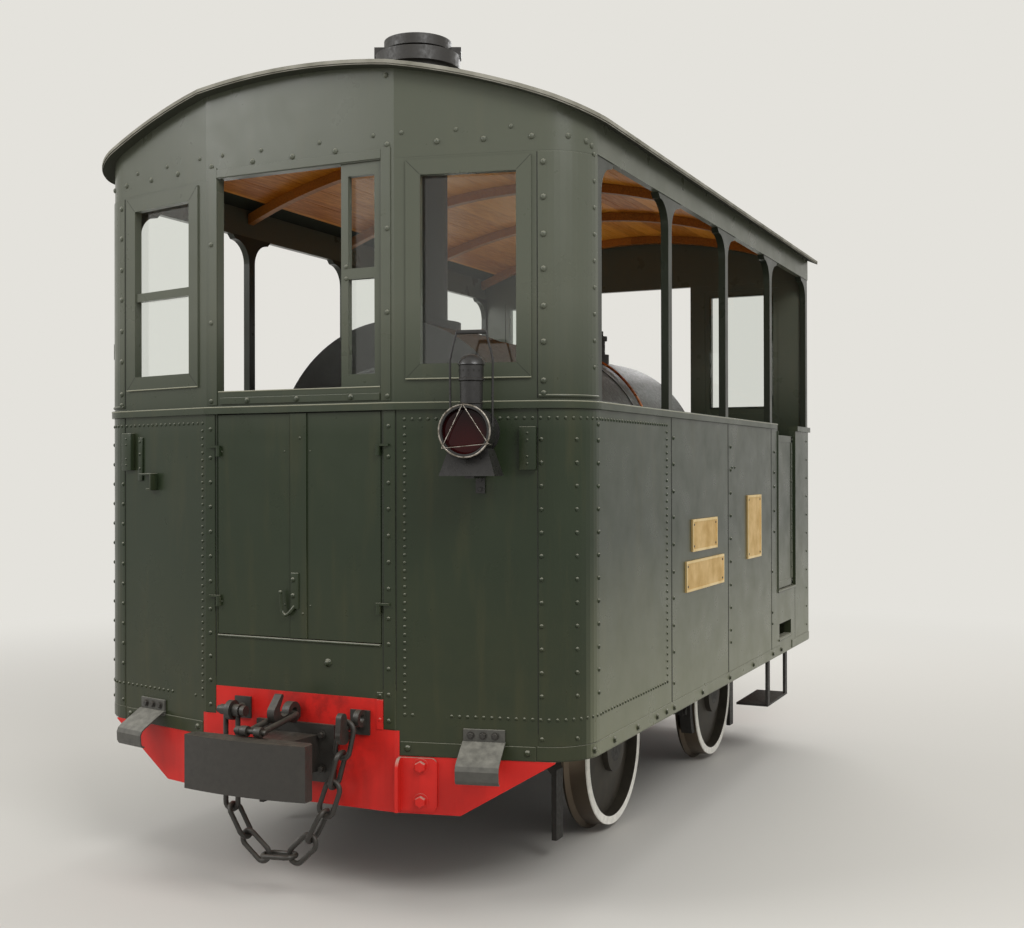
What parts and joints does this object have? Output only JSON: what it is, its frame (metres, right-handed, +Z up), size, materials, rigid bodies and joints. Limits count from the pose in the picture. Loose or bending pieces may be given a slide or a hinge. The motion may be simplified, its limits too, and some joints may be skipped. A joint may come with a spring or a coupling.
{
  "type": "tram locomotive",
  "caption": "Small enclosed steam tram locomotive with coupled disc wheels, opening front and side doors, central buffers and a vertical chimney through an arched roof.",
  "frame": {"origin": "on the ground under the middle of the locomotive, at the lowest point of the wheel flanges", "axes": "+Z up, the front faces -Y, +X on the right of someone who looks at the front"},
  "size_m": [2.334, 4.575, 3.5408],
  "materials": {
    "green_paint": "satin",
    "red_paint": "satin",
    "black_iron": "satin",
    "boiler_grey": "matte",
    "tyre_steel": "satin",
    "ceiling_wood": "varnished",
    "roof_canvas": "matte",
    "window_glass": "clear",
    "brass": "satin",
    "copper_pipe": "polished",
    "lamp_black": "satin"
  },
  "bodies": {
    "body": {"axleboxes": "black_iron", "boiler": "boiler_grey", "brake_gear": "black_iron", "brass_plates": "brass", "buffers": "black_iron", "cab_fittings": "black_iron", "ceiling_planks": "ceiling_wood", "chimney": "black_iron", "copper_pipe": "copper_pipe", "coupling_shackle": "black_iron", "cylinder_block": "black_iron", "door_steps": "black_iron", "draw_gear": "black_iron", "firebox": "boiler_grey", "floor_plate": "black_iron", "footsteps": "black_iron", "frame_plates": "black_iron", "front_apron": "green_paint", "front_arch": "green_paint", "front_beam": "red_paint", "front_panel_left": "green_paint", "front_panel_right": "green_paint", "front_tanks": "black_iron", "front_window_walls": "green_paint", "guard_irons": "black_iron", "head_lamp": "lamp_black", "letterboards": "green_paint", "posts": "green_paint", "rear_beam": "red_paint", "rear_panel": "green_paint", "rear_window_walls": "green_paint", "roof_ribs": "ceiling_wood", "roof_sheet": "roof_canvas", "side_chain": "black_iron", "side_panel_left": "green_paint", "side_panel_right": "green_paint", "smokebox": "boiler_grey", "waist_rail": "green_paint", "window_glass": "window_glass", "window_sashes": "green_paint"},
    "wheelset_front": {"axle_front": "tyre_steel", "wheels_front": "tyre_steel"},
    "wheelset_rear": {"axle_rear": "tyre_steel", "wheels_rear": "tyre_steel"},
    "coupling_rod_right": {"coupling_rod_right": "tyre_steel"},
    "coupling_rod_left": {"coupling_rod_left": "tyre_steel"},
    "front_door_right": {"front_door_right": "green_paint"},
    "front_door_left": {"front_door_left": "green_paint"},
    "side_door_right": {"side_door_right": "green_paint"},
    "side_door_left": {"side_door_left": "green_paint"}
  },
  "joints": [
    {"name": "front_wheels_turn", "type": "hinge", "parent": "body", "child": "wheelset_front", "pos_m": [0, -0.5885, 0.364], "axis": [1, 0, 0], "continuous": true},
    {"name": "rear_wheels_turn", "type": "hinge", "parent": "body", "child": "wheelset_rear", "pos_m": [0, 0.9735, 0.364], "axis": [1, 0, 0], "continuous": true},
    {"name": "right_rod_turns", "type": "hinge", "parent": "wheelset_front", "child": "coupling_rod_right", "pos_m": [0.82, -0.5885, 0.504], "axis": [1, 0, 0], "continuous": true},
    {"name": "left_rod_turns", "type": "hinge", "parent": "wheelset_front", "child": "coupling_rod_left", "pos_m": [-0.82, -0.7285, 0.364], "axis": [1, 0, 0], "continuous": true},
    {"name": "front_door_right_opens", "type": "hinge", "parent": "body", "child": "front_door_right", "pos_m": [0.367, -1.9375, 1.406], "axis": [0, 0, 1], "range_deg": [0, 100]},
    {"name": "front_door_left_opens", "type": "hinge", "parent": "body", "child": "front_door_left", "pos_m": [-0.367, -1.9375, 1.406], "axis": [0, 0, -1], "range_deg": [0, 100]},
    {"name": "side_door_right_opens", "type": "hinge", "parent": "body", "child": "side_door_right", "pos_m": [1.067, 1.5715, 1.376], "axis": [0, 0, -1], "range_deg": [0, 90]},
    {"name": "side_door_left_opens", "type": "hinge", "parent": "body", "child": "side_door_left", "pos_m": [-1.067, 1.5715, 1.376], "axis": [0, 0, 1], "range_deg": [0, 90]}
  ],
  "couplings": [
    {"joint": "rear_wheels_turn", "follows": "front_wheels_turn", "ratio": 1},
    {"joint": "right_rod_turns", "follows": "front_wheels_turn", "ratio": -1},
    {"joint": "left_rod_turns", "follows": "front_wheels_turn", "ratio": -1}
  ]
}
